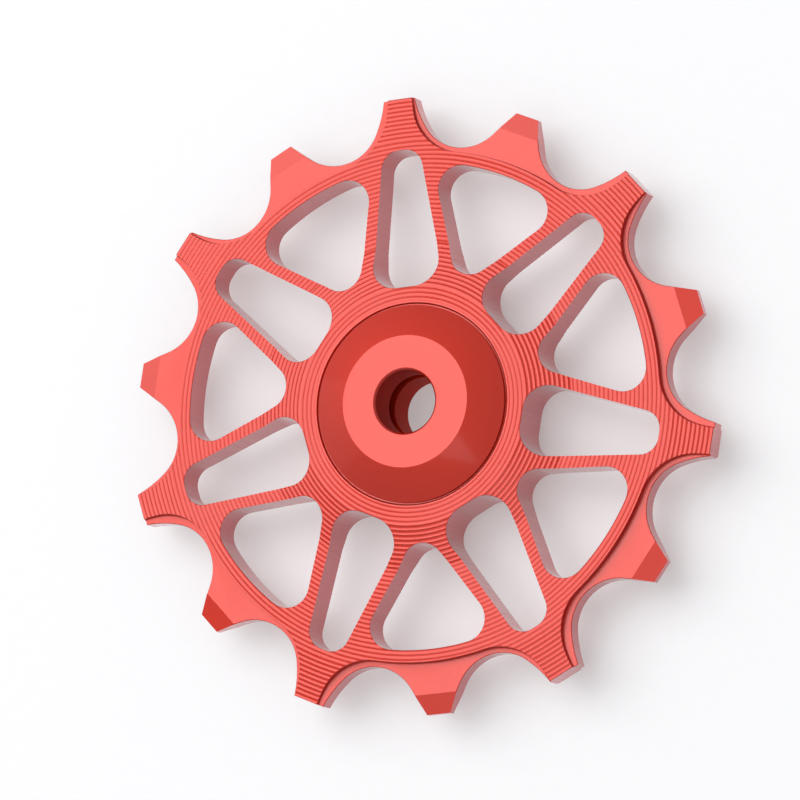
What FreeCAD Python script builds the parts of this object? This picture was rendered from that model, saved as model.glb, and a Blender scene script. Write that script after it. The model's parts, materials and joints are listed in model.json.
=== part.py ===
"""Derailleur jockey wheel, 14 teeth, narrow and wide by turns, on a sealed ball bearing.

The wheel lies flat: its axis is +Z and it stands on the flat face of the rear cover.
Millimetres. The origin is on the axis, at the bottom.
"""
import math
import os

import FreeCAD
import Part

# Chain and teeth
CHAIN_PITCH = 12.7
ROLLER_DIAMETER = 7.65
ROLLER_LIFT = 0.12
TEETH = 14
PAIRS = TEETH // 2
TOOTH_STEP = 360.0 / TEETH
PAIR_STEP = 360.0 / PAIRS
PITCH_RADIUS = CHAIN_PITCH / 2 / math.sin(math.pi / TEETH)
ROOT_RADIUS = PITCH_RADIUS - ROLLER_DIAMETER / 2 + ROLLER_LIFT
WIDE_TOOTH_HEIGHT = 4.77
WIDE_TIP_RADIUS = ROOT_RADIUS + WIDE_TOOTH_HEIGHT
WIDE_TIP_HALF = 1.24
LEDGE_AT_TIP = 0.34
LEDGE_TIP_HALF = WIDE_TIP_HALF + LEDGE_AT_TIP
LEDGE_AT_ROOT = 0.55
STEP_RADIUS = ROOT_RADIUS - LEDGE_AT_ROOT
NARROW_TOOTH_HEIGHT = 4.31
NARROW_TIP_RADIUS = ROOT_RADIUS + NARROW_TOOTH_HEIGHT
NARROW_TIP_HALF = 1.17

# Flanks, in degrees: how far a gullet's arc turns, and the flank's lean to the tooth's middle at the tip
WIDE_SWING = 69.5
WIDE_LEAN = 1.4
LEDGE_SWING = 50.0
LEDGE_LEAN = 9.6
NARROW_SWING = 49.2
NARROW_LEAN = 25.3

# The narrow profile is cut this many degrees ahead of the wide one
PROFILE_LEAD = 0.38

# Thickness: half widths are measured from the middle plane of the wheel
NARROW_HALF = 0.90
NARROW_TIP_EDGE_HALF = 0.40
NARROW_BEVEL = 1.89
NARROW_BEVEL_START = NARROW_TIP_RADIUS - NARROW_BEVEL
PLATE_HALF = 1.68
WIDE_TIP_EDGE_HALF = 1.25
WIDE_TAPER = 4.20
TAPER_START = WIDE_TIP_RADIUS - WIDE_TAPER

# Bearing: 8 x 16 x 5 mm, nine balls of 3/32 inch
BEARING_BORE = 4.0
BEARING_OUTER = 8.0
BEARING_HALF = 2.5
BALLS = 9
BALL_RADIUS = 1.19
BALL_PITCH_RADIUS = (BEARING_BORE + BEARING_OUTER) / 2
BALL_CLEARANCE = 0.02
RACEWAY_RADIUS = BALL_RADIUS + BALL_CLEARANCE
LAND_OFFSET = 0.75
INNER_LAND = BALL_PITCH_RADIUS - LAND_OFFSET
OUTER_LAND = BALL_PITCH_RADIUS + LAND_OFFSET
RACE_CHAMFER = 0.2
SEAL_RECESS = 0.12
SEAL_THICKNESS = 0.46
SEAL_OUTER_FACE = BEARING_HALF - SEAL_RECESS
SEAL_INNER_FACE = SEAL_OUTER_FACE - SEAL_THICKNESS
SEAL_STEP_DROP = 0.1
OUTER_RACE_WALL = 0.8
SEAL_SEAT_RADIUS = BEARING_OUTER - OUTER_RACE_WALL
INNER_RACE_WALL = 0.98
SEAL_STEP_RADIUS = BEARING_BORE + INNER_RACE_WALL
SEAL_LIP_CLEARANCE = 0.03
CAGE_WALL_HALF = 0.5
CAGE_INNER = BALL_PITCH_RADIUS - CAGE_WALL_HALF
CAGE_OUTER = BALL_PITCH_RADIUS + CAGE_WALL_HALF
CAGE_SEAL_GAP = 0.17
CAGE_BOTTOM = -SEAL_INNER_FACE + CAGE_SEAL_GAP
CAGE_TOP = 0.42
CAGE_CLEARANCE = 0.06

# Covers: one from each side, spigot in the bearing
COVER_OVERHANG = 1.38
COVER_RADIUS = BEARING_OUTER + COVER_OVERHANG
COVER_SEAT_CLEARANCE = 0.12
COVER_HEIGHT = 1.80
COVER_FACE = BEARING_HALF + COVER_HEIGHT
COVER_CONE_RUN = 3.13
COVER_FACE_RADIUS = COVER_RADIUS - COVER_CONE_RUN
COVER_BORE = 3.0
COVER_BORE_CHAMFER = 0.18
COVER_SHOULDER = 0.75
COVER_SHOULDER_RADIUS = BEARING_BORE + COVER_SHOULDER
COVER_RELIEF_GAP = 0.36
COVER_RELIEF = BEARING_HALF + COVER_RELIEF_GAP
COVER_LIP_WIDTH = 1.18
COVER_LIP_RADIUS = COVER_RADIUS - COVER_LIP_WIDTH
SPIGOT_CLEARANCE = 0.02
SPIGOT_END = 0.75

# Hub: a little wider than the bearing, with a shallow seat for each cover
HUB_OVER_BEARING = 0.12
HUB_HALF = BEARING_HALF + HUB_OVER_BEARING
HUB_RING = 2.02
HUB_FLAT_RADIUS = COVER_RADIUS + HUB_RING
FLARE_RUN = 4.20
FLARE_END_RADIUS = HUB_FLAT_RADIUS + FLARE_RUN
HUB_EDGE_CHAMFER = 0.14
COVER_SEAT_DEPTH = 0.16
COVER_SEAT_FLOOR = HUB_HALF - COVER_SEAT_DEPTH
COVER_LIFT = 0.12
COVER_EDGE_LOW = COVER_SEAT_FLOOR + COVER_LIFT
COVER_EDGE = 0.16
COVER_EDGE_HIGH = COVER_EDGE_LOW + COVER_EDGE

# Windows between the spokes: half widths and corner rounds
SLOT_INTO_HUB = 0.23
SLOT_INNER = HUB_FLAT_RADIUS - SLOT_INTO_HUB
SLOT_PAST_STEP = 0.26
SLOT_OUTER = STEP_RADIUS + SLOT_PAST_STEP
SLOT_INNER_HALF = 3.672
SLOT_OUTER_HALF = 1.867
SLOT_INNER_ROUND = 2.4
SLOT_OUTER_ROUND = 1.8
TRIANGLE_FROM_HUB = 0.19
TRIANGLE_APEX = HUB_FLAT_RADIUS + TRIANGLE_FROM_HUB
TRIANGLE_SLOPE = 0.69
RIM_WIDTH = 1.15
TRIANGLE_OUTER = STEP_RADIUS - RIM_WIDTH
TRIANGLE_INNER_ROUND = 2.07
TRIANGLE_OUTER_ROUND = 2.2

# How far a cut or an untrimmed blank runs past the metal
OVERSHOOT = 0.5

MIDDLE_Z = COVER_FACE
OUT = "parts"


def vec(x, y, z=0.0):
    return FreeCAD.Vector(x, y, z)


def polar(radius, degrees, z=0.0):
    a = math.radians(degrees)
    return vec(radius * math.cos(a), radius * math.sin(a), z)


def turned(profile):
    """Solid of revolution about Z from (radius, height) corners."""
    corners = [vec(r, 0, z) for r, z in profile]
    corners.append(corners[0])
    face = Part.Face(Part.makePolygon(corners))
    return face.revolve(vec(0, 0, 0), vec(0, 0, 1), 360)


def prism(edges, low, high):
    """Closed outline pushed up from low to high."""
    wire = Part.Wire(Part.__sortEdges__(edges))
    face = Part.Face(wire)
    face.translate(vec(0, 0, low))
    return face.extrude(vec(0, 0, high - low))


def arc(centre, radius, start, end):
    """Arc from the angle start to the angle end, degrees, by its middle point."""
    points = [centre + polar(radius, a) for a in (start, (start + end) / 2, end)]
    return Part.Arc(*points).toShape()


def around(shape, degrees):
    copy = shape.copy()
    copy.rotate(vec(0, 0, 0), vec(0, 0, 1), degrees)
    return copy


def flank(root, tip_radius, tip_half, swing, lean, tooth_angle, side):
    """Two arcs from the middle of a gullet to a tooth tip corner: the gullet's own, then a wider one.

    side is +1 for the gullet on the counter-clockwise side of the tooth, -1 for the other.
    """
    half_step = math.radians(TOOTH_STEP / 2)
    tip_x = tip_radius * math.sin(half_step) - tip_half * math.cos(half_step)
    tip_y = tip_radius * math.cos(half_step) + tip_half * math.sin(half_step) - root
    first = math.radians(swing)
    last = math.pi / 2 - half_step - math.radians(lean)
    seat_run = math.sin(first)
    seat_rise = 1 - math.cos(first)
    bend_run = math.sin(last) - math.sin(first)
    bend_rise = math.cos(first) - math.cos(last)
    scale = seat_run * bend_rise - bend_run * seat_rise
    seat = (bend_rise * tip_x - bend_run * tip_y) / scale
    bend = (seat_run * tip_y - seat_rise * tip_x) / scale
    gullet = tooth_angle + side * TOOTH_STEP / 2

    def place(x, y):
        return around_point(vec(root + y, -side * x), gullet)

    def on_bend(t):
        x = seat * seat_run + bend * (math.sin(t) - math.sin(first))
        y = seat * seat_rise + bend * (math.cos(first) - math.cos(t))
        return place(x, y)

    bottom = place(0, 0)
    middle = place(seat * math.sin(first / 2), seat * (1 - math.cos(first / 2)))
    corner = place(tip_x, tip_y)
    low = Part.Arc(bottom, middle, on_bend(first)).toShape()
    high = Part.Arc(on_bend(first), on_bend((first + last) / 2), corner).toShape()
    return [low, high], corner


def around_point(point, degrees):
    a = math.radians(degrees)
    return vec(point.x * math.cos(a) - point.y * math.sin(a), point.x * math.sin(a) + point.y * math.cos(a))


def tooth(root, tip_radius, tip_half, swing, lean, angle):
    left, left_corner = flank(root, tip_radius, tip_half, swing, lean, angle, 1)
    right, right_corner = flank(root, tip_radius, tip_half, swing, lean, angle, -1)
    return left + right + [Part.makeLine(left_corner, right_corner)]


def middle_layer():
    """All fourteen teeth, as thick as a narrow one."""
    edges = []
    for pair in range(PAIRS):
        wide = 90 - pair * PAIR_STEP
        narrow = wide - TOOTH_STEP
        edges += tooth(ROOT_RADIUS, WIDE_TIP_RADIUS, LEDGE_TIP_HALF, LEDGE_SWING, LEDGE_LEAN, wide)
        edges += tooth(ROOT_RADIUS, NARROW_TIP_RADIUS, NARROW_TIP_HALF, NARROW_SWING, NARROW_LEAN, narrow)
    layer = prism(edges, -NARROW_HALF, NARROW_HALF)
    drop = (NARROW_HALF - NARROW_TIP_EDGE_HALF) / (NARROW_TIP_RADIUS - NARROW_BEVEL_START)
    beyond = NARROW_TIP_RADIUS + OVERSHOOT
    low = NARROW_HALF - drop * (beyond - NARROW_BEVEL_START)
    high = NARROW_HALF + OVERSHOOT
    side = NARROW_TIP_HALF + NARROW_BEVEL * math.tan(math.radians(NARROW_LEAN)) + OVERSHOOT
    corners = [vec(NARROW_BEVEL_START, -side, NARROW_HALF), vec(beyond, -side, low), vec(beyond, -side, high)]
    corners += [vec(NARROW_BEVEL_START, -side, high), vec(NARROW_BEVEL_START, -side, NARROW_HALF)]
    wedge = Part.Face(Part.makePolygon(corners)).extrude(vec(0, 2 * side, 0))
    under = wedge.mirror(vec(0, 0, 0), vec(0, 0, 1))
    bevels = []
    for pair in range(PAIRS):
        angle = 90 - TOOTH_STEP - pair * PAIR_STEP
        bevels += [around(wedge, angle), around(under, angle)]
    return around(layer.cut(bevels), PROFILE_LEAD)


def wide_layer():
    """Rim disc with the seven wide teeth, taller than the hub before it is trimmed."""
    edges = []
    for pair in range(PAIRS):
        wide = 90 - pair * PAIR_STEP
        edges += tooth(STEP_RADIUS, WIDE_TIP_RADIUS, WIDE_TIP_HALF, WIDE_SWING, WIDE_LEAN, wide)
        edges.append(arc(vec(0, 0), STEP_RADIUS, wide - TOOTH_STEP / 2, wide - 1.5 * TOOTH_STEP))
    return prism(edges, -HUB_HALF - OVERSHOOT, HUB_HALF + OVERSHOOT)


def turned_blank():
    """The side view of the wheel: hub, flare, plate, and the taper of the tips."""
    taper = (PLATE_HALF - WIDE_TIP_EDGE_HALF) / (WIDE_TIP_RADIUS - TAPER_START)
    beyond = WIDE_TIP_RADIUS + OVERSHOOT
    last = PLATE_HALF - taper * (beyond - TAPER_START)
    seat = COVER_RADIUS + COVER_SEAT_CLEARANCE
    upper = [(BEARING_OUTER, COVER_SEAT_FLOOR), (seat, COVER_SEAT_FLOOR)]
    upper += [(seat, HUB_HALF - HUB_EDGE_CHAMFER), (seat + HUB_EDGE_CHAMFER, HUB_HALF)]
    upper += [(HUB_FLAT_RADIUS, HUB_HALF), (FLARE_END_RADIUS, PLATE_HALF), (TAPER_START, PLATE_HALF)]
    upper += [(beyond, last)]
    lower = [(r, -z) for r, z in reversed(upper)]
    return turned(upper + lower)


def slot_window():
    """Window under a wide tooth: four straight sides, rounded corners."""
    corners = [vec(SLOT_INNER_HALF, SLOT_INNER), vec(SLOT_OUTER_HALF, SLOT_OUTER)]
    corners += [vec(-SLOT_OUTER_HALF, SLOT_OUTER), vec(-SLOT_INNER_HALF, SLOT_INNER)]
    rounds = [SLOT_INNER_ROUND, SLOT_OUTER_ROUND, SLOT_OUTER_ROUND, SLOT_INNER_ROUND]
    return rounded_outline(corners, rounds)


def rounded_outline(corners, rounds):
    """Straight-sided closed outline with an arc at each corner."""
    count = len(corners)
    starts = []
    ends = []
    edges = []
    for i, corner in enumerate(corners):
        back = corners[i - 1] - corner
        ahead = corners[(i + 1) % count] - corner
        back.normalize()
        ahead.normalize()
        half = back.getAngle(ahead) / 2
        reach = rounds[i] / math.tan(half)
        bisector = back + ahead
        bisector.normalize()
        near = corner + bisector * (rounds[i] / math.sin(half) - rounds[i])
        starts.append(corner + back * reach)
        ends.append(corner + ahead * reach)
        edges.append(Part.Arc(starts[i], near, ends[i]).toShape())
    for i in range(count):
        edges.append(Part.makeLine(ends[i], starts[(i + 1) % count]))
    return edges


def triangle_window():
    """Window under a narrow tooth: two straight sides and an arc beside the rim."""
    lean = math.atan(TRIANGLE_SLOPE)
    apex_round_y = TRIANGLE_APEX + TRIANGLE_INNER_ROUND / math.sin(lean)
    touch = vec(TRIANGLE_INNER_ROUND * math.cos(lean), apex_round_y - TRIANGLE_INNER_ROUND * math.sin(lean))
    rest = TRIANGLE_OUTER - TRIANGLE_OUTER_ROUND
    offset = TRIANGLE_SLOPE * TRIANGLE_APEX + TRIANGLE_OUTER_ROUND / math.cos(lean)
    a = 1 + TRIANGLE_SLOPE ** 2
    b = -2 * TRIANGLE_SLOPE * offset
    c = offset ** 2 - rest ** 2
    y = (-b + math.sqrt(b * b - 4 * a * c)) / (2 * a)
    x = TRIANGLE_SLOPE * y - offset
    centre = vec(x, y)
    swing = math.degrees(math.atan2(y, x))
    side_end = centre + vec(TRIANGLE_OUTER_ROUND * math.cos(lean), -TRIANGLE_OUTER_ROUND * math.sin(lean))
    corner = arc(centre, TRIANGLE_OUTER_ROUND, -math.degrees(lean), swing)
    side = Part.makeLine(touch, side_end)
    inner = Part.Arc(vec(-touch.x, touch.y), vec(0, apex_round_y - TRIANGLE_INNER_ROUND), touch).toShape()
    outer = arc(vec(0, 0), TRIANGLE_OUTER, swing, 180 - swing)
    mirrored = [e.mirror(vec(0, 0, 0), vec(1, 0, 0)) for e in (corner, side)]
    return [inner, side, corner, outer] + mirrored


def wheel_body():
    blank = turned_blank()
    body = blank.common(wide_layer())
    ring = blank.common(middle_layer())
    body = body.fuse(ring)
    windows = []
    reach = HUB_HALF + OVERSHOOT
    for pair in range(PAIRS):
        turn = -pair * PAIR_STEP
        windows.append(around(prism(slot_window(), -reach, reach), turn))
        windows.append(around(prism(triangle_window(), -reach, reach), turn - TOOTH_STEP))
    return body.cut(windows).removeSplitter().Solids[0]


def raceway():
    return Part.makeTorus(BALL_PITCH_RADIUS, RACEWAY_RADIUS)


def inner_race():
    c = RACE_CHAMFER / 2
    upper = [(BEARING_BORE, BEARING_HALF - c), (BEARING_BORE + c, BEARING_HALF)]
    step = SEAL_INNER_FACE - SEAL_STEP_DROP
    upper += [(SEAL_STEP_RADIUS, BEARING_HALF), (SEAL_STEP_RADIUS, step), (INNER_LAND, step)]
    lower = [(r, -z) for r, z in reversed(upper)]
    return turned(upper + lower).cut(raceway())


def outer_race():
    c = RACE_CHAMFER
    upper = [(OUTER_LAND, SEAL_INNER_FACE), (SEAL_SEAT_RADIUS, SEAL_INNER_FACE)]
    upper += [(SEAL_SEAT_RADIUS, BEARING_HALF), (BEARING_OUTER - c, BEARING_HALF)]
    upper += [(BEARING_OUTER, BEARING_HALF - c)]
    lower = [(r, -z) for r, z in reversed(upper)]
    return turned(upper + lower).cut(raceway())


def seal():
    inner = SEAL_STEP_RADIUS + SEAL_LIP_CLEARANCE
    return turned([(inner, SEAL_INNER_FACE), (SEAL_SEAT_RADIUS, SEAL_INNER_FACE),
                   (SEAL_SEAT_RADIUS, SEAL_OUTER_FACE), (inner, SEAL_OUTER_FACE)])


def ball(index):
    return Part.makeSphere(BALL_RADIUS, polar(BALL_PITCH_RADIUS, 90 + index * 360.0 / BALLS))


def cage():
    """Crown cage: a ring under the balls, with open pockets."""
    lower = [(CAGE_INNER, CAGE_BOTTOM), (CAGE_OUTER, CAGE_BOTTOM)]
    ring = turned(lower + [(CAGE_OUTER, CAGE_TOP), (CAGE_INNER, CAGE_TOP)])
    pockets = []
    for index in range(BALLS):
        centre = polar(BALL_PITCH_RADIUS, 90 + index * 360.0 / BALLS)
        pockets.append(Part.makeSphere(BALL_RADIUS + CAGE_CLEARANCE, centre))
    return ring.cut(pockets)


def cover():
    """Front cover: spigot in the inner race, shoulder on it, cone over the hub."""
    spigot = BEARING_BORE - SPIGOT_CLEARANCE
    c = COVER_BORE_CHAMFER
    profile = [(COVER_BORE, SPIGOT_END), (spigot, SPIGOT_END), (spigot, BEARING_HALF)]
    profile += [(COVER_SHOULDER_RADIUS, BEARING_HALF), (COVER_SHOULDER_RADIUS, COVER_RELIEF)]
    profile += [(COVER_LIP_RADIUS, COVER_RELIEF), (COVER_LIP_RADIUS, COVER_EDGE_LOW)]
    profile += [(COVER_RADIUS, COVER_EDGE_LOW), (COVER_RADIUS, COVER_EDGE_HIGH)]
    profile += [(COVER_FACE_RADIUS, COVER_FACE)]
    profile += [(COVER_BORE + c, COVER_FACE), (COVER_BORE, COVER_FACE - c)]
    return turned(profile)


def main():
    os.makedirs(OUT, exist_ok=True)
    front_cover = cover()
    front_seal = seal()
    parts = {
        "wheel_body": wheel_body(),
        "front_cover": front_cover,
        "rear_cover": front_cover.mirror(vec(0, 0, 0), vec(0, 0, 1)),
        "bearing_outer_race": outer_race(),
        "bearing_inner_race": inner_race(),
        "front_seal": front_seal,
        "rear_seal": front_seal.mirror(vec(0, 0, 0), vec(0, 0, 1)),
        "ball_cage": cage(),
    }
    for index in range(BALLS):
        parts["ball_%02d" % (index + 1)] = ball(index)
    for name, shape in parts.items():
        shape.translate(vec(0, 0, MIDDLE_Z))
        shape.exportStep(os.path.join(OUT, name + ".step"))


main()
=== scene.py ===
"""Looks of a derailleur jockey wheel in turned and red anodised aluminium, laid out as an add-on.

Everything is in metres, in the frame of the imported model: the wheel lies flat, its axis is +Z.
"""
import json
import math

import bmesh
import bpy
import numpy as np
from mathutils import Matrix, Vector


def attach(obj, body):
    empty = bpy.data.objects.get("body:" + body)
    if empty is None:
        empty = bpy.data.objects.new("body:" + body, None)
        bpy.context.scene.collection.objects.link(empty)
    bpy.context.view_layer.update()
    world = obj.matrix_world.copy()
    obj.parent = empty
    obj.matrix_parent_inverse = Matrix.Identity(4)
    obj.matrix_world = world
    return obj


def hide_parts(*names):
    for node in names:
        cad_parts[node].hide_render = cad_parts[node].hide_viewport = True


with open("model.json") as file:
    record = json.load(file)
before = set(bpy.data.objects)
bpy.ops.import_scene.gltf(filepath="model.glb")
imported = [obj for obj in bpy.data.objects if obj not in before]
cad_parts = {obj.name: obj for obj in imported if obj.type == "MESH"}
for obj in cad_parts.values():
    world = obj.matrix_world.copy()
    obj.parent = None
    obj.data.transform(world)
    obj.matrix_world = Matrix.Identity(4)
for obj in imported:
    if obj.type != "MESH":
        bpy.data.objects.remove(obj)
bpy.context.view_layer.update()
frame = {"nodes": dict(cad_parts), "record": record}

bl_info = {
    "name": "Jockey Wheel",
    "version": (1, 0, 0),
    "blender": (4, 5, 0),
    "location": "View3D > Sidebar > Jockey Wheel",
    "description": "Builds a narrow-wide jockey wheel with turned faces around its solid model",
    "category": "Add Mesh",
}

MM = 0.001

# Chain and teeth, in millimetres
CHAIN_PITCH = 12.7
ROLLER_DIAMETER = 7.65
ROLLER_LIFT = 0.12
TEETH = 14
PAIRS = TEETH // 2
TOOTH_STEP = 360.0 / TEETH
PAIR_STEP = 2 * TOOTH_STEP
PITCH_RADIUS = CHAIN_PITCH / 2 / math.sin(math.pi / TEETH)
ROOT_RADIUS = PITCH_RADIUS - ROLLER_DIAMETER / 2 + ROLLER_LIFT
WIDE_TOOTH_HEIGHT = 4.77
WIDE_TIP_RADIUS = ROOT_RADIUS + WIDE_TOOTH_HEIGHT
WIDE_TIP_HALF = 1.24
LEDGE_AT_TIP = 0.34
LEDGE_TIP_HALF = WIDE_TIP_HALF + LEDGE_AT_TIP
LEDGE_AT_ROOT = 0.55
STEP_RADIUS = ROOT_RADIUS - LEDGE_AT_ROOT
NARROW_TOOTH_HEIGHT = 4.31
NARROW_TIP_RADIUS = ROOT_RADIUS + NARROW_TOOTH_HEIGHT
NARROW_TIP_HALF = 1.17

# Flanks, in degrees: how far a gullet's arc turns, and the flank's lean to the tooth's middle at the tip
WIDE_SWING = 69.5
WIDE_LEAN = 1.4
LEDGE_SWING = 50.0
LEDGE_LEAN = 9.6
NARROW_SWING = 49.2
NARROW_LEAN = 25.3

# The narrow profile is cut this many degrees ahead of the wide one
PROFILE_LEAD = 0.38

# Thickness in millimetres: half widths are measured from the middle plane of the wheel
NARROW_HALF = 0.90
NARROW_TIP_EDGE_HALF = 0.40
NARROW_BEVEL = 1.89
NARROW_BEVEL_START = NARROW_TIP_RADIUS - NARROW_BEVEL
PLATE_HALF = 1.68
WIDE_TIP_EDGE_HALF = 1.25
WIDE_TAPER = 4.20
TAPER_START = WIDE_TIP_RADIUS - WIDE_TAPER

# Bearing seat and covers, in millimetres
BEARING_OUTER = 8.0
BEARING_HALF = 2.5
COVER_RADIUS = 9.38
COVER_SEAT_RADIUS = 9.50
COVER_FACE = 4.30
COVER_FACE_RADIUS = 6.25
COVER_BORE = 3.0
COVER_BORE_CHAMFER = 0.18
COVER_SHOULDER_RADIUS = 4.75
COVER_RELIEF = 2.86
COVER_LIP_RADIUS = 8.20
COVER_EDGE_LOW = 2.58
COVER_EDGE_HIGH = 2.74
SPIGOT_RADIUS = 3.98
SPIGOT_END = 0.75

# Hub, in millimetres: a little wider than the bearing, with a shallow seat for each cover
HUB_HALF = 2.62
HUB_FLAT_RADIUS = 11.40
FLARE_END_RADIUS = 15.60
HUB_EDGE_CHAMFER = 0.14
COVER_SEAT_FLOOR = 2.46

# Windows between the spokes, in millimetres: half widths and corner rounds
SLOT_INNER = 11.17
SLOT_PAST_STEP = 0.26
SLOT_OUTER = STEP_RADIUS + SLOT_PAST_STEP
SLOT_INNER_HALF = 3.672
SLOT_OUTER_HALF = 1.867
SLOT_INNER_ROUND = 2.4
SLOT_OUTER_ROUND = 1.8
TRIANGLE_APEX = 11.59
TRIANGLE_SLOPE = 0.69
RIM_WIDTH = 1.15
TRIANGLE_OUTER = STEP_RADIUS - RIM_WIDTH
TRIANGLE_INNER_ROUND = 2.07
TRIANGLE_OUTER_ROUND = 2.2

# Height of the middle plane above the floor, in millimetres
MIDDLE_Z = COVER_FACE

# Roundings of the covers, in millimetres
EDGE_ROUND = 0.05
RIM_ROUND = 0.04
RELIEF_ROUND = 0.10
FACE_ROUND = 0.12

# Turning marks: the first crest beside the cover, in millimetres
FIRST_CREST = 9.79

# How finely the meshes are divided
TURNED_DIVISIONS = 224
COVER_DIVISIONS = 192
CUTS_PER_GROOVE = 4
FILLET_CUTS = 8
ARC_POINTS = 11
BEND_POINTS = 5
EDGE_STEPS = (0.0, 0.25, 0.5, 0.75, 1.0)

# How far a cutter reaches past what it cuts, in millimetres
BEYOND = 0.6

# Angles in degrees above which an edge is shaded sharp
WHEEL_SHARP_ANGLE = 13.5
COVER_SHARP_ANGLE = 35

# A face counts as a milled wall while the upward part of its normal is less than this
WALL_SLOPE = 0.35

# Half a side of the paper floor, in metres
FLOOR_HALF = 1.5

# Sockets of a Mix node that mixes colours
MIX_ONE = 6
MIX_TWO = 7
MIX_RESULT = 2

# The span that most of a noise node's output lies in
NOISE_LOW = 0.3
NOISE_HIGH = 0.7

# Where the dye is darkest on the turned faces, as shares of its red, green and blue
DARKER_DYE = (0.93, 0.85, 0.85)

# Shares of the whole red in the covers' bores, lightest and darkest along the marks: the variation along
# the marks is real tone, but the whole bore kept below the faces' red is painted shade
BORE_DYE_AND_SHADE_LIGHT = 0.95
BORE_DYE_AND_SHADE_DARK = 0.80

# Distance between two rings of the covers' fine turning, in millimetres
SATIN_RING_PITCH = 0.12

# Share of plain white in the paper, as it is seen and mirrored
PAPER_GLOW = 0.30

# Strength of the even light from all round
WORLD_STRENGTH = 0.63

# Camera: where it stands, how it is turned in degrees, and its lens for a 36 mm film
CAMERA_PLACE = (0.186096, -0.088244, 0.486615)
CAMERA_TURN = (8.55222, 21.81715, -3.32701)
CAMERA_LENS = 250.353
FILM_WIDTH = 36.0


def linear(code):
    """Linear colour, with alpha 1, of an sRGB hex value."""
    levels = [int(code[i:i + 2], 16) / 255 for i in (1, 3, 5)]
    return tuple(v / 12.92 if v <= 0.04045 else ((v + 0.055) / 1.055) ** 2.4 for v in levels) + (1.0,)


class JockeyShape(bpy.types.PropertyGroup):
    """Sizes of the machined detail that a user may change."""

    groove_pitch: bpy.props.FloatProperty(
        name="Groove pitch", description="Distance between two turning marks",
        default=0.43 * MM, min=0.2 * MM, max=1.0 * MM, precision=5, subtype="DISTANCE", unit="LENGTH")
    groove_depth: bpy.props.FloatProperty(
        name="Groove depth", description="Depth of a turning mark below its crests",
        default=0.047 * MM, min=0.0, max=0.2 * MM, precision=5, subtype="DISTANCE", unit="LENGTH")
    edge_break: bpy.props.FloatProperty(
        name="Edge break", description="Width of the small chamfer on milled edges",
        default=0.06 * MM, min=0.01 * MM, max=0.15 * MM, precision=5, subtype="DISTANCE", unit="LENGTH")
    step_fillet: bpy.props.FloatProperty(
        name="Step fillet", description="Radius at the step's foot, up to the ledge's least width",
        default=0.14 * MM, min=0.02 * MM, max=0.14 * MM, precision=5, subtype="DISTANCE", unit="LENGTH")


class JockeyFinish(bpy.types.PropertyGroup):
    """Colours and roughness that a user may change."""

    red: bpy.props.FloatVectorProperty(
        name="Red dye", description="Colour of the anodised metal",
        subtype="COLOR", size=3, min=0.0, max=1.0, default=linear("#C72B12")[:3])
    # Partly painted reflection: the wall red is bluer than the faces' red, standing in for the pinkish
    # grey that the walls mirror
    wall_red_and_painted_reflection: bpy.props.FloatVectorProperty(
        name="Wall dye", description="Colour of the milled walls",
        subtype="COLOR", size=3, min=0.0, max=1.0, default=linear("#B82B33")[:3])
    turned_roughness: bpy.props.FloatProperty(
        name="Turned roughness", description="Roughness of the turned faces",
        default=0.58, min=0.0, max=1.0, subtype="FACTOR")
    satin_roughness: bpy.props.FloatProperty(
        name="Satin roughness", description="Roughness of the covers",
        default=0.57, min=0.0, max=1.0, subtype="FACTOR")


def add_node(tree, kind, links=None, inputs=None, **settings):
    """Add a node, set its options and inputs, and link the named inputs to other nodes' outputs."""
    node = tree.nodes.new(kind)
    for name, value in settings.items():
        setattr(node, name, value)
    for name, value in (inputs or {}).items():
        node.inputs[name].default_value = value
    for name, source in (links or {}).items():
        tree.links.new(source, node.inputs[name])
    return node


def new_material(name):
    """An empty material and its node tree."""
    material = bpy.data.materials.new(name)
    material.use_nodes = True
    material.node_tree.nodes.clear()
    return material, material.node_tree


def place_in_millimetres(tree):
    """Object coordinates counted in millimetres, so that a noise scale is marks per millimetre."""
    coordinates = add_node(tree, "ShaderNodeTexCoord")
    return add_node(tree, "ShaderNodeVectorMath", {0: coordinates.outputs["Object"]},
                    {1: (1 / MM, 1 / MM, 1 / MM)}, operation="MULTIPLY").outputs[0]


def turned_anodised(finish):
    """Aluminium turned with a pointed tool, etched, dyed and sealed.

    The eye gets a red metal with a thin clear oxide on it, under the crisp marks of the tool. The etch's
    grain is drawn 0.1 mm wide so that it shows.
    """
    material, tree = new_material("anodised_aluminium_turned")
    place = place_in_millimetres(tree)
    cloud = add_node(tree, "ShaderNodeTexNoise", {"Vector": place}, {"Scale": 0.35, "Detail": 3.0})
    grain = add_node(tree, "ShaderNodeTexNoise", {"Vector": place}, {"Scale": 9.0, "Detail": 2.0})
    red = tuple(finish.red) + (1.0,)
    darker = tuple(level * share for level, share in zip(finish.red, DARKER_DYE)) + (1.0,)
    dye = add_node(tree, "ShaderNodeMix", {"Factor": cloud.outputs["Fac"]},
                   {MIX_ONE: red, MIX_TWO: darker}, data_type="RGBA")
    rough = add_node(tree, "ShaderNodeMapRange", {"Value": grain.outputs["Fac"]},
                     {"From Min": NOISE_LOW, "From Max": NOISE_HIGH,
                      "To Min": finish.turned_roughness - 0.04, "To Max": finish.turned_roughness + 0.05})
    bump = add_node(tree, "ShaderNodeBump", {"Height": grain.outputs["Fac"]},
                    {"Strength": 0.10, "Distance": 0.01 * MM})
    shader = add_node(tree, "ShaderNodeBsdfPrincipled",
                      {"Base Color": dye.outputs[MIX_RESULT], "Roughness": rough.outputs[0],
                       "Normal": bump.outputs[0]},
                      {"Metallic": 1.0, "Coat Weight": 1.0, "Coat Roughness": 0.16, "Coat IOR": 1.5})
    add_node(tree, "ShaderNodeOutputMaterial", {"Surface": shader.outputs[0]})
    return material


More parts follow.
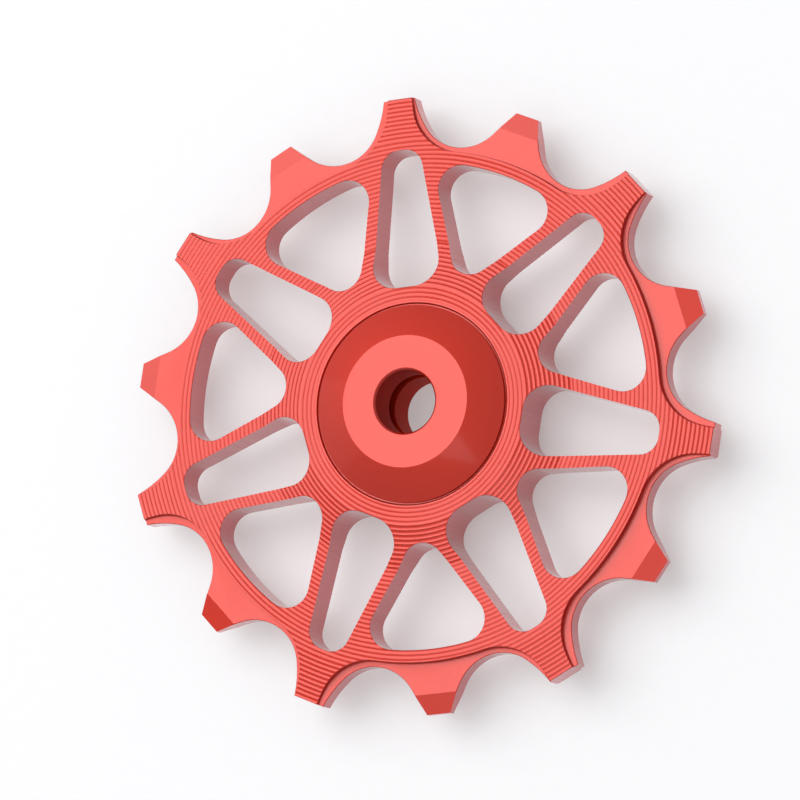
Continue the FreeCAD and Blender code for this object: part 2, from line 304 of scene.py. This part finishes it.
def satin_anodised(finish):
    """Aluminium turned fine on a lathe, then dyed and sealed.

    The eye gets a smooth red satin with faint rings about the axis, 0.12 mm apart so that they show.
    """
    material, tree = new_material("anodised_aluminium_satin")
    place = place_in_millimetres(tree)
    flat = add_node(tree, "ShaderNodeVectorMath", {0: place}, {1: (1.0, 1.0, 0.0)}, operation="MULTIPLY")
    radius = add_node(tree, "ShaderNodeVectorMath", {0: flat.outputs[0]}, operation="LENGTH")
    phase = add_node(tree, "ShaderNodeMath", {0: radius.outputs["Value"]},
                     {1: 2 * math.pi / SATIN_RING_PITCH}, operation="MULTIPLY")
    rings = add_node(tree, "ShaderNodeMath", {0: phase.outputs[0]}, operation="SINE")
    grain = add_node(tree, "ShaderNodeTexNoise", {"Vector": place}, {"Scale": 7.0, "Detail": 2.0})
    relief = add_node(tree, "ShaderNodeMath", {0: rings.outputs[0], 2: grain.outputs["Fac"]}, {1: 0.25},
                      operation="MULTIPLY_ADD")
    rough = add_node(tree, "ShaderNodeMapRange", {"Value": grain.outputs["Fac"]},
                     {"From Min": NOISE_LOW, "From Max": NOISE_HIGH,
                      "To Min": finish.satin_roughness - 0.03, "To Max": finish.satin_roughness + 0.04})
    bump = add_node(tree, "ShaderNodeBump", {"Height": relief.outputs[0]},
                    {"Strength": 0.03, "Distance": 0.01 * MM})
    shader = add_node(tree, "ShaderNodeBsdfPrincipled",
                      {"Roughness": rough.outputs[0], "Normal": bump.outputs[0]},
                      {"Base Color": tuple(finish.red) + (1.0,), "Metallic": 1.0, "Coat Weight": 1.0,
                       "Coat Roughness": 0.12, "Coat IOR": 1.5})
    add_node(tree, "ShaderNodeOutputMaterial", {"Surface": shader.outputs[0]})
    return material


def milled_anodised(finish):
    """Aluminium cut with the side of an end mill, then dyed and sealed.

    The eye gets a glossier red than on the turned faces, with faint marks along the cutter, 0.4 mm apart
    so that they show. At a low angle the clear oxide, with an IOR near 1.75, mirrors the paper, and the
    walls go pinkish grey. The red itself is painted bluer than on the faces, a painted reflection of that
    pinkish grey.
    """
    material, tree = new_material("anodised_aluminium_milled")
    place = place_in_millimetres(tree)
    along = add_node(tree, "ShaderNodeVectorMath", {0: place}, {1: (1.0, 1.0, 0.06)}, operation="MULTIPLY")
    marks = add_node(tree, "ShaderNodeTexNoise", {"Vector": along.outputs[0]},
                     {"Scale": 2.5, "Detail": 3.0})
    rough = add_node(tree, "ShaderNodeMapRange", {"Value": marks.outputs["Fac"]},
                     {"From Min": NOISE_LOW, "From Max": NOISE_HIGH, "To Min": 0.26, "To Max": 0.36})
    bump = add_node(tree, "ShaderNodeBump", {"Height": marks.outputs["Fac"]},
                    {"Strength": 0.06, "Distance": 0.01 * MM})
    # The base colour carries a painted reflection: the walls' red is tinted bluer, toward pinkish grey
    shader = add_node(tree, "ShaderNodeBsdfPrincipled",
                      {"Roughness": rough.outputs[0], "Normal": bump.outputs[0]},
                      {"Base Color": tuple(finish.wall_red_and_painted_reflection) + (1.0,), "Metallic": 1.0, "Coat Weight": 1.0,
                       "Coat Roughness": 0.06, "Coat IOR": 1.75})
    add_node(tree, "ShaderNodeOutputMaterial", {"Surface": shader.outputs[0]})
    return material


def reamed_anodised(finish):
    """Aluminium reamed in the bore, then dyed and sealed without a polish.

    The eye gets a deep, dull red with fine marks along the bore, 0.2 mm apart so that they show. The red
    is painted darker than on the covers' faces, as painted shade in the bore.
    """
    material, tree = new_material("anodised_aluminium_reamed")
    place = place_in_millimetres(tree)
    along = add_node(tree, "ShaderNodeVectorMath", {0: place}, {1: (1.0, 1.0, 0.05)}, operation="MULTIPLY")
    marks = add_node(tree, "ShaderNodeTexNoise", {"Vector": along.outputs[0]},
                     {"Scale": 5.0, "Detail": 3.0})
    # Painted shade: the bore's red is kept darker than the faces' red and varies along the marks
    deep = tuple(BORE_DYE_AND_SHADE_LIGHT * level for level in finish.red) + (1.0,)
    deeper = tuple(BORE_DYE_AND_SHADE_DARK * level for level in finish.red) + (1.0,)
    dye = add_node(tree, "ShaderNodeMix", {"Factor": marks.outputs["Fac"]},
                   {MIX_ONE: deep, MIX_TWO: deeper}, data_type="RGBA")
    bump = add_node(tree, "ShaderNodeBump", {"Height": marks.outputs["Fac"]},
                    {"Strength": 0.15, "Distance": 0.01 * MM})
    shader = add_node(tree, "ShaderNodeBsdfPrincipled",
                      {"Base Color": dye.outputs[MIX_RESULT], "Normal": bump.outputs[0]},
                      {"Metallic": 1.0, "Roughness": 0.62, "Coat Weight": 0.0})
    add_node(tree, "ShaderNodeOutputMaterial", {"Surface": shader.outputs[0]})
    return material


def ground_steel():
    """Bearing steel, ground: the eye gets a bright grey with fine, uneven marks of the stone."""
    material, tree = new_material("bearing_steel_ground")
    place = place_in_millimetres(tree)
    scratch = add_node(tree, "ShaderNodeTexNoise", {"Vector": place}, {"Scale": 5.0, "Detail": 4.0})
    rough = add_node(tree, "ShaderNodeMapRange", {"Value": scratch.outputs["Fac"]},
                     {"From Min": NOISE_LOW, "From Max": NOISE_HIGH, "To Min": 0.16, "To Max": 0.30})
    tone = add_node(tree, "ShaderNodeMix", {"Factor": scratch.outputs["Fac"]},
                    {MIX_ONE: linear("#C9CBCE"), MIX_TWO: linear("#AEB0B4")}, data_type="RGBA")
    shader = add_node(tree, "ShaderNodeBsdfPrincipled",
                      {"Base Color": tone.outputs[MIX_RESULT], "Roughness": rough.outputs[0]},
                      {"Metallic": 1.0})
    add_node(tree, "ShaderNodeOutputMaterial", {"Surface": shader.outputs[0]})
    return material


def polished_ceramic():
    """Silicon nitride, lapped: the eye gets a near-black ball with a sharp, faint mirror."""
    material, tree = new_material("silicon_nitride_lapped")
    place = place_in_millimetres(tree)
    speck = add_node(tree, "ShaderNodeTexNoise", {"Vector": place}, {"Scale": 12.0, "Detail": 2.0})
    tone = add_node(tree, "ShaderNodeMix", {"Factor": speck.outputs["Fac"]},
                    {MIX_ONE: linear("#2A2A2D"), MIX_TWO: linear("#353538")}, data_type="RGBA")
    shader = add_node(tree, "ShaderNodeBsdfPrincipled", {"Base Color": tone.outputs[MIX_RESULT]},
                      {"Roughness": 0.08, "IOR": 2.0})
    add_node(tree, "ShaderNodeOutputMaterial", {"Surface": shader.outputs[0]})
    return material


def moulded_black(name, code_dark, code_light, roughness, grain_per_mm):
    """Moulded rubber or nylon: the eye gets a soft black with an even, fine grain."""
    material, tree = new_material(name)
    place = place_in_millimetres(tree)
    grain = add_node(tree, "ShaderNodeTexNoise", {"Vector": place}, {"Scale": grain_per_mm, "Detail": 3.0})
    tone = add_node(tree, "ShaderNodeMix", {"Factor": grain.outputs["Fac"]},
                    {MIX_ONE: linear(code_dark), MIX_TWO: linear(code_light)}, data_type="RGBA")
    bump = add_node(tree, "ShaderNodeBump", {"Height": grain.outputs["Fac"]},
                    {"Strength": 0.3, "Distance": 0.02 * MM})
    shader = add_node(tree, "ShaderNodeBsdfPrincipled",
                      {"Base Color": tone.outputs[MIX_RESULT], "Normal": bump.outputs[0]},
                      {"Roughness": roughness})
    add_node(tree, "ShaderNodeOutputMaterial", {"Surface": shader.outputs[0]})
    return material


def studio_paper():
    """Seamless paper under the wheel: the eye gets a nearly white, even ground."""
    material, tree = new_material("studio_paper_matt")
    place = place_in_millimetres(tree)
    fibre = add_node(tree, "ShaderNodeTexNoise", {"Vector": place}, {"Scale": 0.8, "Detail": 4.0})
    tone = add_node(tree, "ShaderNodeMix", {"Factor": fibre.outputs["Fac"]},
                    {MIX_ONE: linear("#E6E6E7"), MIX_TWO: linear("#EAEAEB")}, data_type="RGBA")
    paper = add_node(tree, "ShaderNodeBsdfPrincipled", {"Base Color": tone.outputs[MIX_RESULT]},
                     {"Roughness": 0.9})
    white = add_node(tree, "ShaderNodeEmission", None, {"Color": linear("#FFFFFF"), "Strength": 1.0})
    ray = add_node(tree, "ShaderNodeLightPath")
    mirrored = add_node(tree, "ShaderNodeMath",
                        {0: ray.outputs["Is Glossy Ray"], 1: ray.outputs["Is Transmission Ray"]},
                        operation="MAXIMUM")
    seen = add_node(tree, "ShaderNodeMath", {0: ray.outputs["Is Camera Ray"], 1: mirrored.outputs[0]},
                    operation="MAXIMUM")
    share = add_node(tree, "ShaderNodeMath", {0: seen.outputs[0]}, {1: PAPER_GLOW}, operation="MULTIPLY")
    shader = add_node(tree, "ShaderNodeMixShader",
                      {0: share.outputs[0], 1: paper.outputs[0], 2: white.outputs[0]})
    add_node(tree, "ShaderNodeOutputMaterial", {"Surface": shader.outputs[0]})
    return material


def turn(points, degrees):
    """Points turned about the axis."""
    a = math.radians(degrees)
    rotation = np.array([[math.cos(a), math.sin(a)], [-math.sin(a), math.cos(a)]])
    return np.asarray(points) @ rotation


def flank(root, tip_radius, tip_half, swing, lean, tooth_angle, side):
    """Points from a gullet's middle, round its arc and up the flank's wider arc to the tip corner."""
    half_step = math.radians(TOOTH_STEP / 2)
    tip_x = tip_radius * math.sin(half_step) - tip_half * math.cos(half_step)
    tip_y = tip_radius * math.cos(half_step) + tip_half * math.sin(half_step) - root
    first = math.radians(swing)
    last = math.pi / 2 - half_step - math.radians(lean)
    shares = [[math.sin(first), math.sin(last) - math.sin(first)],
              [1 - math.cos(first), math.cos(first) - math.cos(last)]]
    seat, bend = np.linalg.solve(shares, [tip_x, tip_y])
    low = np.linspace(0, first, ARC_POINTS)
    high = np.linspace(first, last, BEND_POINTS)[1:]
    x = np.append(seat * np.sin(low),
                  seat * math.sin(first) + bend * (np.sin(high) - math.sin(first)))
    y = np.append(seat * (1 - np.cos(low)),
                  seat * (1 - math.cos(first)) + bend * (math.cos(first) - np.cos(high)))
    return turn(np.column_stack([root + y, -side * x]), tooth_angle + side * TOOTH_STEP / 2)


def tooth(root, tip_radius, tip_half, swing, lean, angle, offset, tip_offset):
    """Points round one tooth, counter-clockwise, moved outwards, without the last gullet point."""
    half = tip_half + offset / math.cos(math.radians(lean)) - tip_offset * math.tan(math.radians(lean))
    up = flank(root + offset, tip_radius + tip_offset, half, swing, lean, angle, -1)
    down = flank(root + offset, tip_radius + tip_offset, half, swing, lean, angle, 1)[::-1]
    return np.vstack([up, down[:-1]])


def middle_outline(offset):
    """Outline of all the teeth, as the narrow layer has them, moved outwards by offset."""
    rows = []
    for pair in range(PAIRS):
        wide = 90 + pair * PAIR_STEP + PROFILE_LEAD
        rows.append(tooth(ROOT_RADIUS, WIDE_TIP_RADIUS, LEDGE_TIP_HALF, LEDGE_SWING, LEDGE_LEAN,
                          wide, offset, offset))
        rows.append(tooth(ROOT_RADIUS, NARROW_TIP_RADIUS, NARROW_TIP_HALF, NARROW_SWING, NARROW_LEAN,
                          wide + TOOTH_STEP, offset, offset))
    return np.vstack(rows)


def wide_outline(offset, tip_offset):
    """Outline of the rim disc with the wide teeth, moved outwards, and at the tips by tip_offset."""
    rows = []
    for pair in range(PAIRS):
        wide = 90 + pair * PAIR_STEP
        rows.append(tooth(STEP_RADIUS, WIDE_TIP_RADIUS, WIDE_TIP_HALF, WIDE_SWING, WIDE_LEAN,
                          wide, offset, tip_offset))
        arc = np.linspace(wide + TOOTH_STEP / 2, wide + 1.5 * TOOTH_STEP, 2 * ARC_POINTS)
        angles = np.radians(arc[:-1])
        radius = STEP_RADIUS + offset
        rows.append(np.column_stack([radius * np.cos(angles), radius * np.sin(angles)]))
    return np.vstack(rows)


def rounded(corners, rounds):
    """Straight-sided outline with an arc at each corner."""
    count = len(corners)
    points = []
    for i, corner in enumerate(corners):
        back = np.subtract(corners[i - 1], corner)
        ahead = np.subtract(corners[(i + 1) % count], corner)
        back = back / np.linalg.norm(back)
        ahead = ahead / np.linalg.norm(ahead)
        half = math.acos(np.dot(back, ahead)) / 2
        middle = back + ahead
        middle = middle / np.linalg.norm(middle)
        centre = corner + middle * rounds[i] / math.sin(half)
        first = -(ahead - middle * np.dot(ahead, middle))
        first = first / np.linalg.norm(first)
        for swing in np.linspace(-(math.pi / 2 - half), math.pi / 2 - half, ARC_POINTS):
            points.append(centre + rounds[i] * (-middle * math.cos(swing) - first * math.sin(swing)))
    return np.array(points)


def slot_outline():
    """Four-sided window under a wide tooth, counter-clockwise, about +Y."""
    corners = [(SLOT_INNER_HALF, SLOT_INNER), (SLOT_OUTER_HALF, SLOT_OUTER),
               (-SLOT_OUTER_HALF, SLOT_OUTER), (-SLOT_INNER_HALF, SLOT_INNER)]
    return rounded(corners, [SLOT_INNER_ROUND, SLOT_OUTER_ROUND, SLOT_OUTER_ROUND, SLOT_INNER_ROUND])


def triangle_outline():
    """Three-sided window under a narrow tooth, counter-clockwise, about +Y."""
    lean = math.atan(TRIANGLE_SLOPE)
    apex_y = TRIANGLE_APEX + TRIANGLE_INNER_ROUND / math.sin(lean)
    rest = TRIANGLE_OUTER - TRIANGLE_OUTER_ROUND
    offset = TRIANGLE_SLOPE * TRIANGLE_APEX + TRIANGLE_OUTER_ROUND / math.cos(lean)
    a = 1 + TRIANGLE_SLOPE ** 2
    b = -2 * TRIANGLE_SLOPE * offset
    c = offset ** 2 - rest ** 2
    y = (-b + math.sqrt(b * b - 4 * a * c)) / (2 * a)
    x = TRIANGLE_SLOPE * y - offset
    bottom = np.linspace(-math.pi / 2, -lean, ARC_POINTS)
    corner = np.linspace(-lean, math.atan2(y, x), ARC_POINTS)
    rim = np.linspace(math.atan2(y, x), math.pi / 2, ARC_POINTS)[1:-1]
    half = [(TRIANGLE_INNER_ROUND * math.cos(t), apex_y + TRIANGLE_INNER_ROUND * math.sin(t))
            for t in bottom]
    half += [(x + TRIANGLE_OUTER_ROUND * math.cos(t), y + TRIANGLE_OUTER_ROUND * math.sin(t))
             for t in corner]
    half += [(TRIANGLE_OUTER * math.cos(t), TRIANGLE_OUTER * math.sin(t)) for t in rim]
    top = [(0.0, TRIANGLE_OUTER)]
    mirrored = [(-px, py) for px, py in half[1:]][::-1]
    return np.array(half + top + mirrored)


def moved_out(points, offset):
    """A smooth closed outline, counter-clockwise, with each point moved outwards."""
    along = np.roll(points, -1, axis=0) - np.roll(points, 1, axis=0)
    along = along / np.linalg.norm(along, axis=1)[:, None]
    return points + offset * np.column_stack([along[:, 1], -along[:, 0]])


def face_height(radius):
    """Height of the crests of the turned face above the middle plane."""
    return np.interp(radius, [HUB_FLAT_RADIUS, FLARE_END_RADIUS, TAPER_START, WIDE_TIP_RADIUS],
                     [HUB_HALF, PLATE_HALF, PLATE_HALF, WIDE_TIP_EDGE_HALF])


def stacked(mesh, rings):
    """Add a closed solid to a bmesh from rings of points, each ring with its height or heights."""
    rows = []
    for points, height in rings:
        heights = np.broadcast_to(height, len(points))
        rows.append([mesh.verts.new((p[0], p[1], z)) for p, z in zip(points, heights)])
    count = len(rows[0])
    for low, high in zip(rows, rows[1:]):
        for i in range(count):
            j = (i + 1) % count
            mesh.faces.new((low[i], low[j], high[j], high[i]))
    mesh.faces.new(rows[0][::-1])
    mesh.faces.new(rows[-1])


def both_ways(rings):
    """Rings for the upper half, led by the same rings mirrored below the middle plane."""
    return [(points, -np.asarray(height)) for points, height in reversed(rings)] + rings


def lathed(mesh, profile, divisions):
    """Add a closed solid of revolution to a bmesh, from a closed profile of radii and heights."""
    angles = [2 * math.pi * i / divisions for i in range(divisions)]
    rows = [[mesh.verts.new((r * math.cos(a), r * math.sin(a), z)) for a in angles] for r, z in profile]
    for one, two in zip(rows, rows[1:] + rows[:1]):
        for i in range(divisions):
            j = (i + 1) % divisions
            mesh.faces.new((one[i], one[j], two[j], two[i]))


def new_object(name, mesh):
    """Object from a bmesh in millimetres about the middle plane, moved to its place in metres."""
    bmesh.ops.recalc_face_normals(mesh, faces=mesh.faces)
    bmesh.ops.translate(mesh, verts=mesh.verts, vec=(0, 0, MIDDLE_Z))
    bmesh.ops.scale(mesh, verts=mesh.verts, vec=(MM, MM, MM))
    data = bpy.data.meshes.new(name)
    mesh.to_mesh(data)
    mesh.free()
    piece = bpy.data.objects.new(name, data)
    bpy.context.collection.objects.link(piece)
    return piece


def carve(piece, tools):
    """Apply boolean steps, each a tool object and an operation, and delete the tools."""
    for tool, operation in tools:
        step = piece.modifiers.new(tool.name, "BOOLEAN")
        step.object = tool
        step.operation = operation
        step.solver = "MANIFOLD"
        bpy.context.view_layer.update()
        carved = piece.evaluated_get(bpy.context.evaluated_depsgraph_get())
        result = bpy.data.meshes.new_from_object(carved)
        piece.modifiers.clear()
        old = piece.data
        piece.data = result
        bpy.data.meshes.remove(old)
        bpy.data.objects.remove(tool)
    check_closed(piece)


def check_closed(piece):
    """Stop with an error where a boolean step has left the piece open or empty."""
    mesh = bmesh.new()
    mesh.from_mesh(piece.data)
    loose = sum(1 for edge in mesh.edges if not edge.is_manifold)
    faces = len(mesh.faces)
    mesh.free()
    if loose or not faces:
        raise RuntimeError("%s isn't closed: %d loose edges, %d faces" % (piece.name, loose, faces))


def smooth_by_angle(piece, degrees):
    """Smooth shading, kept sharp where two faces meet at more than the angle."""
    piece.data.shade_smooth()
    piece.data.set_sharp_from_angle(angle=math.radians(degrees))


def coat_with(piece, material):
    """Give the whole piece one material."""
    piece.data.materials.clear()
    piece.data.materials.append(material)
    piece.data.polygons.foreach_set("material_index", [0] * len(piece.data.polygons))


def finish_walls(wheel, material):
    """Give the upright walls of the wheel a finish of their own."""
    wheel.data.materials.append(material)
    for face in wheel.data.polygons:
        if abs(face.normal.z) < WALL_SLOPE:
            face.material_index = 1


def finish_bore(cover, material):
    """Give the wall of a cover's bore a finish of its own."""
    cover.data.materials.append(material)
    for face in cover.data.polygons:
        if math.hypot(face.center.x, face.center.y) < COVER_BORE * MM:
            face.material_index = 1


def turned_blank(shape):
    """The blank as it leaves the lathe: bore, cover seats and grooved faces, both sides."""
    pitch = shape.groove_pitch / MM
    depth = shape.groove_depth / MM
    upper = [(BEARING_OUTER, COVER_SEAT_FLOOR), (COVER_SEAT_RADIUS, COVER_SEAT_FLOOR)]
    upper += [(COVER_SEAT_RADIUS, HUB_HALF - HUB_EDGE_CHAMFER),
              (COVER_SEAT_RADIUS + HUB_EDGE_CHAMFER, HUB_HALF)]
    radius = FIRST_CREST
    while radius < WIDE_TIP_RADIUS + BEYOND:
        for cut in range(CUTS_PER_GROOVE):
            u = cut / CUTS_PER_GROOVE
            r = radius + pitch * u
            upper.append((r, float(face_height(r)) - 4 * depth * u * (1 - u)))
        radius += pitch
    mesh = bmesh.new()
    lathed(mesh, upper + [(r, -z) for r, z in reversed(upper)], TURNED_DIVISIONS)
    return new_object("turned_blank", mesh)


def tooth_layers(shape):
    """The milled outline: a wide layer on a narrow one, with a fillet at the foot of the step."""
    edge = shape.edge_break / MM
    fillet = shape.step_fillet / MM
    top = HUB_HALF + BEYOND
    foot = []
    for part in range(FILLET_CUTS + 1):
        a = math.pi / 2 * part / FILLET_CUTS
        spread = fillet * (1 - math.sin(a))
        foot.append((wide_outline(spread, 0.0), NARROW_HALF + fillet * (1 - math.cos(a))))
    sharp = wide_outline(0.0, 0.0)
    crest = face_height(np.linalg.norm(sharp, axis=1))
    broken = wide_outline(-2 * edge, -2 * edge)
    wide = bmesh.new()
    stacked(wide, both_ways(foot + [(sharp, crest - edge), (broken, crest + edge), (broken, top)]))
    middle = bmesh.new()
    stacked(middle, both_ways([(middle_outline(0.0), NARROW_HALF - edge),
                               (middle_outline(-edge), NARROW_HALF)]))
    return new_object("wide_layer", wide), new_object("narrow_layer", middle)


def tip_bevels():
    """Cutters for the bevels on both faces of the narrow teeth."""
    drop = (NARROW_HALF - NARROW_TIP_EDGE_HALF) / (NARROW_TIP_RADIUS - NARROW_BEVEL_START)
    beyond = NARROW_TIP_RADIUS + BEYOND
    low = NARROW_HALF - drop * (beyond - NARROW_BEVEL_START)
    back = NARROW_BEVEL_START - BEYOND
    high = NARROW_HALF + drop * BEYOND
    side = NARROW_TIP_HALF + (beyond - back) * math.tan(math.radians(NARROW_LEAN)) + BEYOND
    mesh = bmesh.new()
    for pair in range(PAIRS):
        for face in (1, -1):
            square = turn([(back, -side), (beyond, -side), (beyond, side), (back, side)],
                          90 + TOOTH_STEP + pair * PAIR_STEP + PROFILE_LEAD)
            bottom = np.array([high, low, low, high]) * face
            top = np.full(4, (NARROW_HALF + BEYOND) * face)
            stacked(mesh, [(square, bottom), (square, top)])
    return new_object("tip_bevels", mesh)


def window_cutters(shape):
    """Cutters for the fourteen windows, flared at both faces to break their edges."""
    edge = shape.edge_break / MM
    top = HUB_HALF + BEYOND
    mesh = bmesh.new()
    for outline, start in ((slot_outline(), 0.0), (triangle_outline(), TOOTH_STEP)):
        for pair in range(PAIRS):
            straight = turn(outline, start + pair * PAIR_STEP)
            flared = moved_out(straight, 2 * edge)
            crest = face_height(np.linalg.norm(straight, axis=1))
            stacked(mesh, both_ways([(straight, crest - edge), (flared, crest + edge), (flared, top)]))
    return new_object("window_cutters", mesh)


class JOCKEY_OT_toothed_wheel(bpy.types.Operator):
    """Build the toothed wheel with its turning marks, in place of its plain solid"""

    bl_idname = "jockey.toothed_wheel"
    bl_label = "Toothed wheel"

    def execute(self, context):
        shape = context.scene.jockey_shape
        wheel, narrow = tooth_layers(shape)
        wheel.name = "toothed_wheel"
        steps = [(narrow, "UNION"), (turned_blank(shape), "INTERSECT")]
        steps += [(tip_bevels(), "DIFFERENCE"), (window_cutters(shape), "DIFFERENCE")]
        carve(wheel, steps)
        smooth_by_angle(wheel, WHEEL_SHARP_ANGLE)
        coat_with(wheel, turned_anodised(context.scene.jockey_finish))
        finish_walls(wheel, milled_anodised(context.scene.jockey_finish))
        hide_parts("wheel_body")
        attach(wheel, "wheel")
        return {"FINISHED"}


def cover_profile():
    """Half section of a cover with its edges rounded, from the spigot's end round to the bore."""
    corners = [
        (COVER_BORE, SPIGOT_END, 0),
        (SPIGOT_RADIUS, SPIGOT_END, EDGE_ROUND),
        (SPIGOT_RADIUS, BEARING_HALF, 0),
        (COVER_SHOULDER_RADIUS, BEARING_HALF, EDGE_ROUND),
        (COVER_SHOULDER_RADIUS, COVER_RELIEF, RELIEF_ROUND),
        (COVER_LIP_RADIUS, COVER_RELIEF, EDGE_ROUND),
        (COVER_LIP_RADIUS, COVER_EDGE_LOW, EDGE_ROUND),
        (COVER_RADIUS, COVER_EDGE_LOW, RIM_ROUND),
        (COVER_RADIUS, COVER_EDGE_HIGH, EDGE_ROUND),
        (COVER_FACE_RADIUS, COVER_FACE, FACE_ROUND),
        (COVER_BORE + COVER_BORE_CHAMFER, COVER_FACE, EDGE_ROUND),
        (COVER_BORE, COVER_FACE - COVER_BORE_CHAMFER, EDGE_ROUND),
    ]
    points = []
    for i, (r, z, radius) in enumerate(corners):
        corner = np.array([r, z])
        if not radius:
            points.append(tuple(corner))
            continue
        back = np.subtract(corners[i - 1][:2], corner)
        ahead = np.subtract(corners[(i + 1) % len(corners)][:2], corner)
        back = back / np.linalg.norm(back)
        ahead = ahead / np.linalg.norm(ahead)
        half = math.acos(np.dot(back, ahead)) / 2
        reach = radius / math.tan(half)
        start = corner + back * reach
        end = corner + ahead * reach
        for t in EDGE_STEPS:
            points.append(tuple((1 - t) ** 2 * start + 2 * t * (1 - t) * corner + t * t * end))
    return points


class JOCKEY_OT_covers(bpy.types.Operator):
    """Build the front and rear covers with rounded edges, in place of their plain solids"""

    bl_idname = "jockey.covers"
    bl_label = "Covers"

    def execute(self, context):
        satin = satin_anodised(context.scene.jockey_finish)
        reamed = reamed_anodised(context.scene.jockey_finish)
        for name, node, side in (("cover_front", "front_cover", 1), ("cover_rear", "rear_cover", -1)):
            mesh = bmesh.new()
            lathed(mesh, [(r, z * side) for r, z in cover_profile()], COVER_DIVISIONS)
            cover = new_object(name, mesh)
            smooth_by_angle(cover, COVER_SHARP_ANGLE)
            coat_with(cover, satin)
            finish_bore(cover, reamed)
            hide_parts(node)
            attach(cover, "covers")
        return {"FINISHED"}


class JOCKEY_OT_bearing(bpy.types.Operator):
    """Give the bearing's races, seals, cage and balls their finishes"""

    bl_idname = "jockey.bearing"
    bl_label = "Bearing"

    def execute(self, context):
        finishes = {
            "bearing_steel": ground_steel(),
            "ceramic": polished_ceramic(),
            "seal_rubber": moulded_black("nitrile_rubber_moulded", "#17171A", "#212124", 0.55, 4.0),
            "cage_nylon": moulded_black("nylon_moulded", "#1E1E22", "#2A2A2E", 0.42, 6.0),
        }
        for entry in frame["record"]["subparts"]:
            finish = finishes.get(entry["material_slot"])
            if finish is None:
                continue
            for slot in frame["nodes"][entry["node"]].material_slots:
                slot.link = "OBJECT"
                slot.material = finish
        return {"FINISHED"}


def softbox(name, place, width, height, watts):
    """Soft lamp that faces the wheel, with its width kept along the X axis."""
    data = bpy.data.lights.new(name, "AREA")
    data.shape = "RECTANGLE"
    data.size = width
    data.size_y = height
    data.energy = watts
    light = bpy.data.objects.new(name, data)
    light.location = place
    towards = Vector(place).normalized()
    light.rotation_euler = (-math.asin(towards.y), math.atan2(towards.x, towards.z), 0.0)
    bpy.context.collection.objects.link(light)


class JOCKEY_OT_stage(bpy.types.Operator):
    """Lay the paper floor and set up the camera, the lamps and the world"""

    bl_idname = "jockey.stage"
    bl_label = "Stage"

    def execute(self, context):
        scene = context.scene
        mesh = bmesh.new()
        signs = ((-1, -1), (1, -1), (1, 1), (-1, 1))
        mesh.faces.new([mesh.verts.new((x * FLOOR_HALF, y * FLOOR_HALF, 0.0)) for x, y in signs])
        data = bpy.data.meshes.new("paper_floor")
        mesh.to_mesh(data)
        mesh.free()
        floor = bpy.data.objects.new("paper_floor", data)
        floor.data.materials.append(studio_paper())
        scene.collection.objects.link(floor)
        world = bpy.data.worlds.new("studio")
        world.use_nodes = True
        background = world.node_tree.nodes["Background"]
        background.inputs["Color"].default_value = linear("#F4F5F8")
        background.inputs["Strength"].default_value = WORLD_STRENGTH
        scene.world = world
        softbox("key_softbox", (-0.285, 0.25, 0.59), width=0.78, height=0.58, watts=3.5)
        softbox("top_softbox", (-0.06, -0.01, 0.8), width=0.62, height=0.72, watts=1.05)
        softbox("side_card", (-0.66, 0.05, 0.25), width=0.40, height=0.50, watts=0.10)
        softbox("front_strip", (0.02, -0.38, 0.80), width=0.60, height=0.25, watts=0.35)
        camera_data = bpy.data.cameras.new("camera")
        camera_data.sensor_width = FILM_WIDTH
        camera_data.lens = CAMERA_LENS
        camera = bpy.data.objects.new("camera", camera_data)
        camera.location = CAMERA_PLACE
        camera.rotation_euler = [math.radians(a) for a in CAMERA_TURN]
        scene.collection.objects.link(camera)
        scene.camera = camera
        scene.view_settings.view_transform = "Standard"
        return {"FINISHED"}


class JOCKEY_PT_panel(bpy.types.Panel):
    """Lists the pieces of the jockey wheel and their settings"""

    bl_idname = "JOCKEY_PT_panel"
    bl_label = "Jockey Wheel"
    bl_space_type = "VIEW_3D"
    bl_region_type = "UI"
    bl_category = "Jockey Wheel"

    def draw(self, context):
        for settings in (context.scene.jockey_shape, context.scene.jockey_finish):
            for name in settings.__annotations__:
                self.layout.prop(settings, name)
        for operator in OPERATORS:
            self.layout.operator(operator.bl_idname)


OPERATORS = (JOCKEY_OT_toothed_wheel, JOCKEY_OT_covers, JOCKEY_OT_bearing, JOCKEY_OT_stage)
CLASSES = (JockeyShape, JockeyFinish) + OPERATORS + (JOCKEY_PT_panel,)


def register():
    for cls in CLASSES:
        bpy.utils.register_class(cls)
    bpy.types.Scene.jockey_shape = bpy.props.PointerProperty(type=JockeyShape)
    bpy.types.Scene.jockey_finish = bpy.props.PointerProperty(type=JockeyFinish)


def unregister():
    del bpy.types.Scene.jockey_finish
    del bpy.types.Scene.jockey_shape
    for cls in reversed(CLASSES):
        bpy.utils.unregister_class(cls)


def main():
    register()
    bpy.ops.jockey.toothed_wheel()
    bpy.ops.jockey.covers()
    bpy.ops.jockey.bearing()
    bpy.ops.jockey.stage()


if __name__ == "__main__":
    main()
